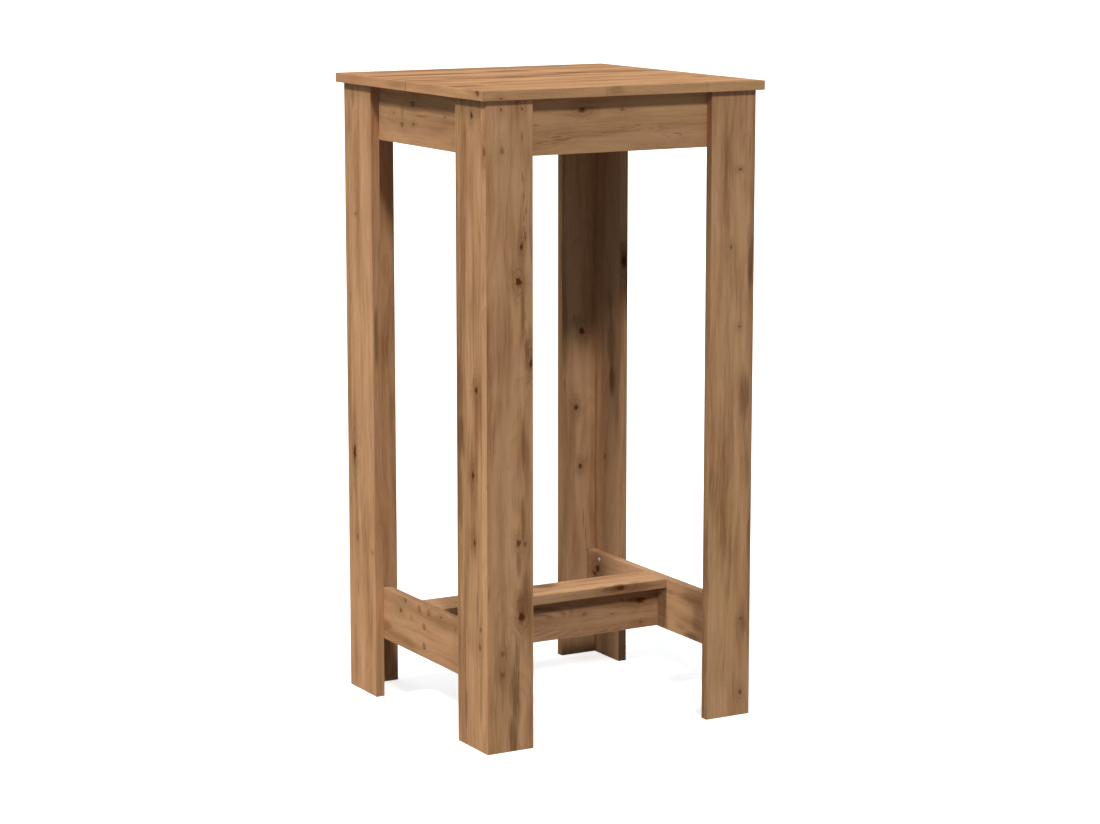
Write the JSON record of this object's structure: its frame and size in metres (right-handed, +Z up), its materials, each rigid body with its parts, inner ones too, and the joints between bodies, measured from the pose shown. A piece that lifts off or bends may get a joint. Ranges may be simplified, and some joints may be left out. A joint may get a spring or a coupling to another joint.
{
  "type": "bar table",
  "caption": "Tall square bar table of oak-faced boards, with L-shaped legs, an apron under the top, and low side stretchers that carry a T-shaped footrest.",
  "frame": {"origin": "on the floor under the middle of the top", "axes": "+Z up; X along the front, from the left leg to the right one; +Y from front to back. The picture sees the front and the left side."},
  "size_m": [0.5, 0.5, 1.02],
  "materials": {
    "oak_faced_board": "matt oak-grain facing on engineered board",
    "edge_band": "matt oak-grain edge band",
    "beech": "plain unfinished dowel",
    "cast_zinc": "as cast",
    "plated_steel": "zinc plated",
    "cap_plastic": "matt wood-brown cap"
  },
  "bodies": {
    "root": {"apron_edge_bands": "edge_band", "apron_screws": "plated_steel", "back_apron": "oak_faced_board", "back_left_leg_edge_bands": "edge_band", "back_left_leg_face_board": "oak_faced_board", "back_left_leg_side_board": "oak_faced_board", "back_right_leg_edge_bands": "edge_band", "back_right_leg_face_board": "oak_faced_board", "back_right_leg_side_board": "oak_faced_board", "footrest_board": "oak_faced_board", "footrest_dowels": "beech", "footrest_edge_bands": "edge_band", "footrest_rail": "oak_faced_board", "footrest_screw_caps": "cap_plastic", "footrest_screws": "plated_steel", "front_apron": "oak_faced_board", "front_left_leg_edge_bands": "edge_band", "front_left_leg_face_board": "oak_faced_board", "front_left_leg_side_board": "oak_faced_board", "front_right_leg_edge_bands": "edge_band", "front_right_leg_face_board": "oak_faced_board", "front_right_leg_side_board": "oak_faced_board", "left_apron": "oak_faced_board", "left_stretcher": "oak_faced_board", "leg_cam_bolts": "plated_steel", "leg_cam_locks": "cast_zinc", "leg_dowels": "beech", "right_apron": "oak_faced_board", "right_stretcher": "oak_faced_board", "stretcher_edge_bands": "edge_band", "stretcher_screws": "plated_steel", "table_top": "oak_faced_board", "top_cam_bolts": "plated_steel", "top_cam_locks": "cast_zinc", "top_dowels": "beech", "top_edge_bands": "edge_band"}
  },
  "joints": []
}
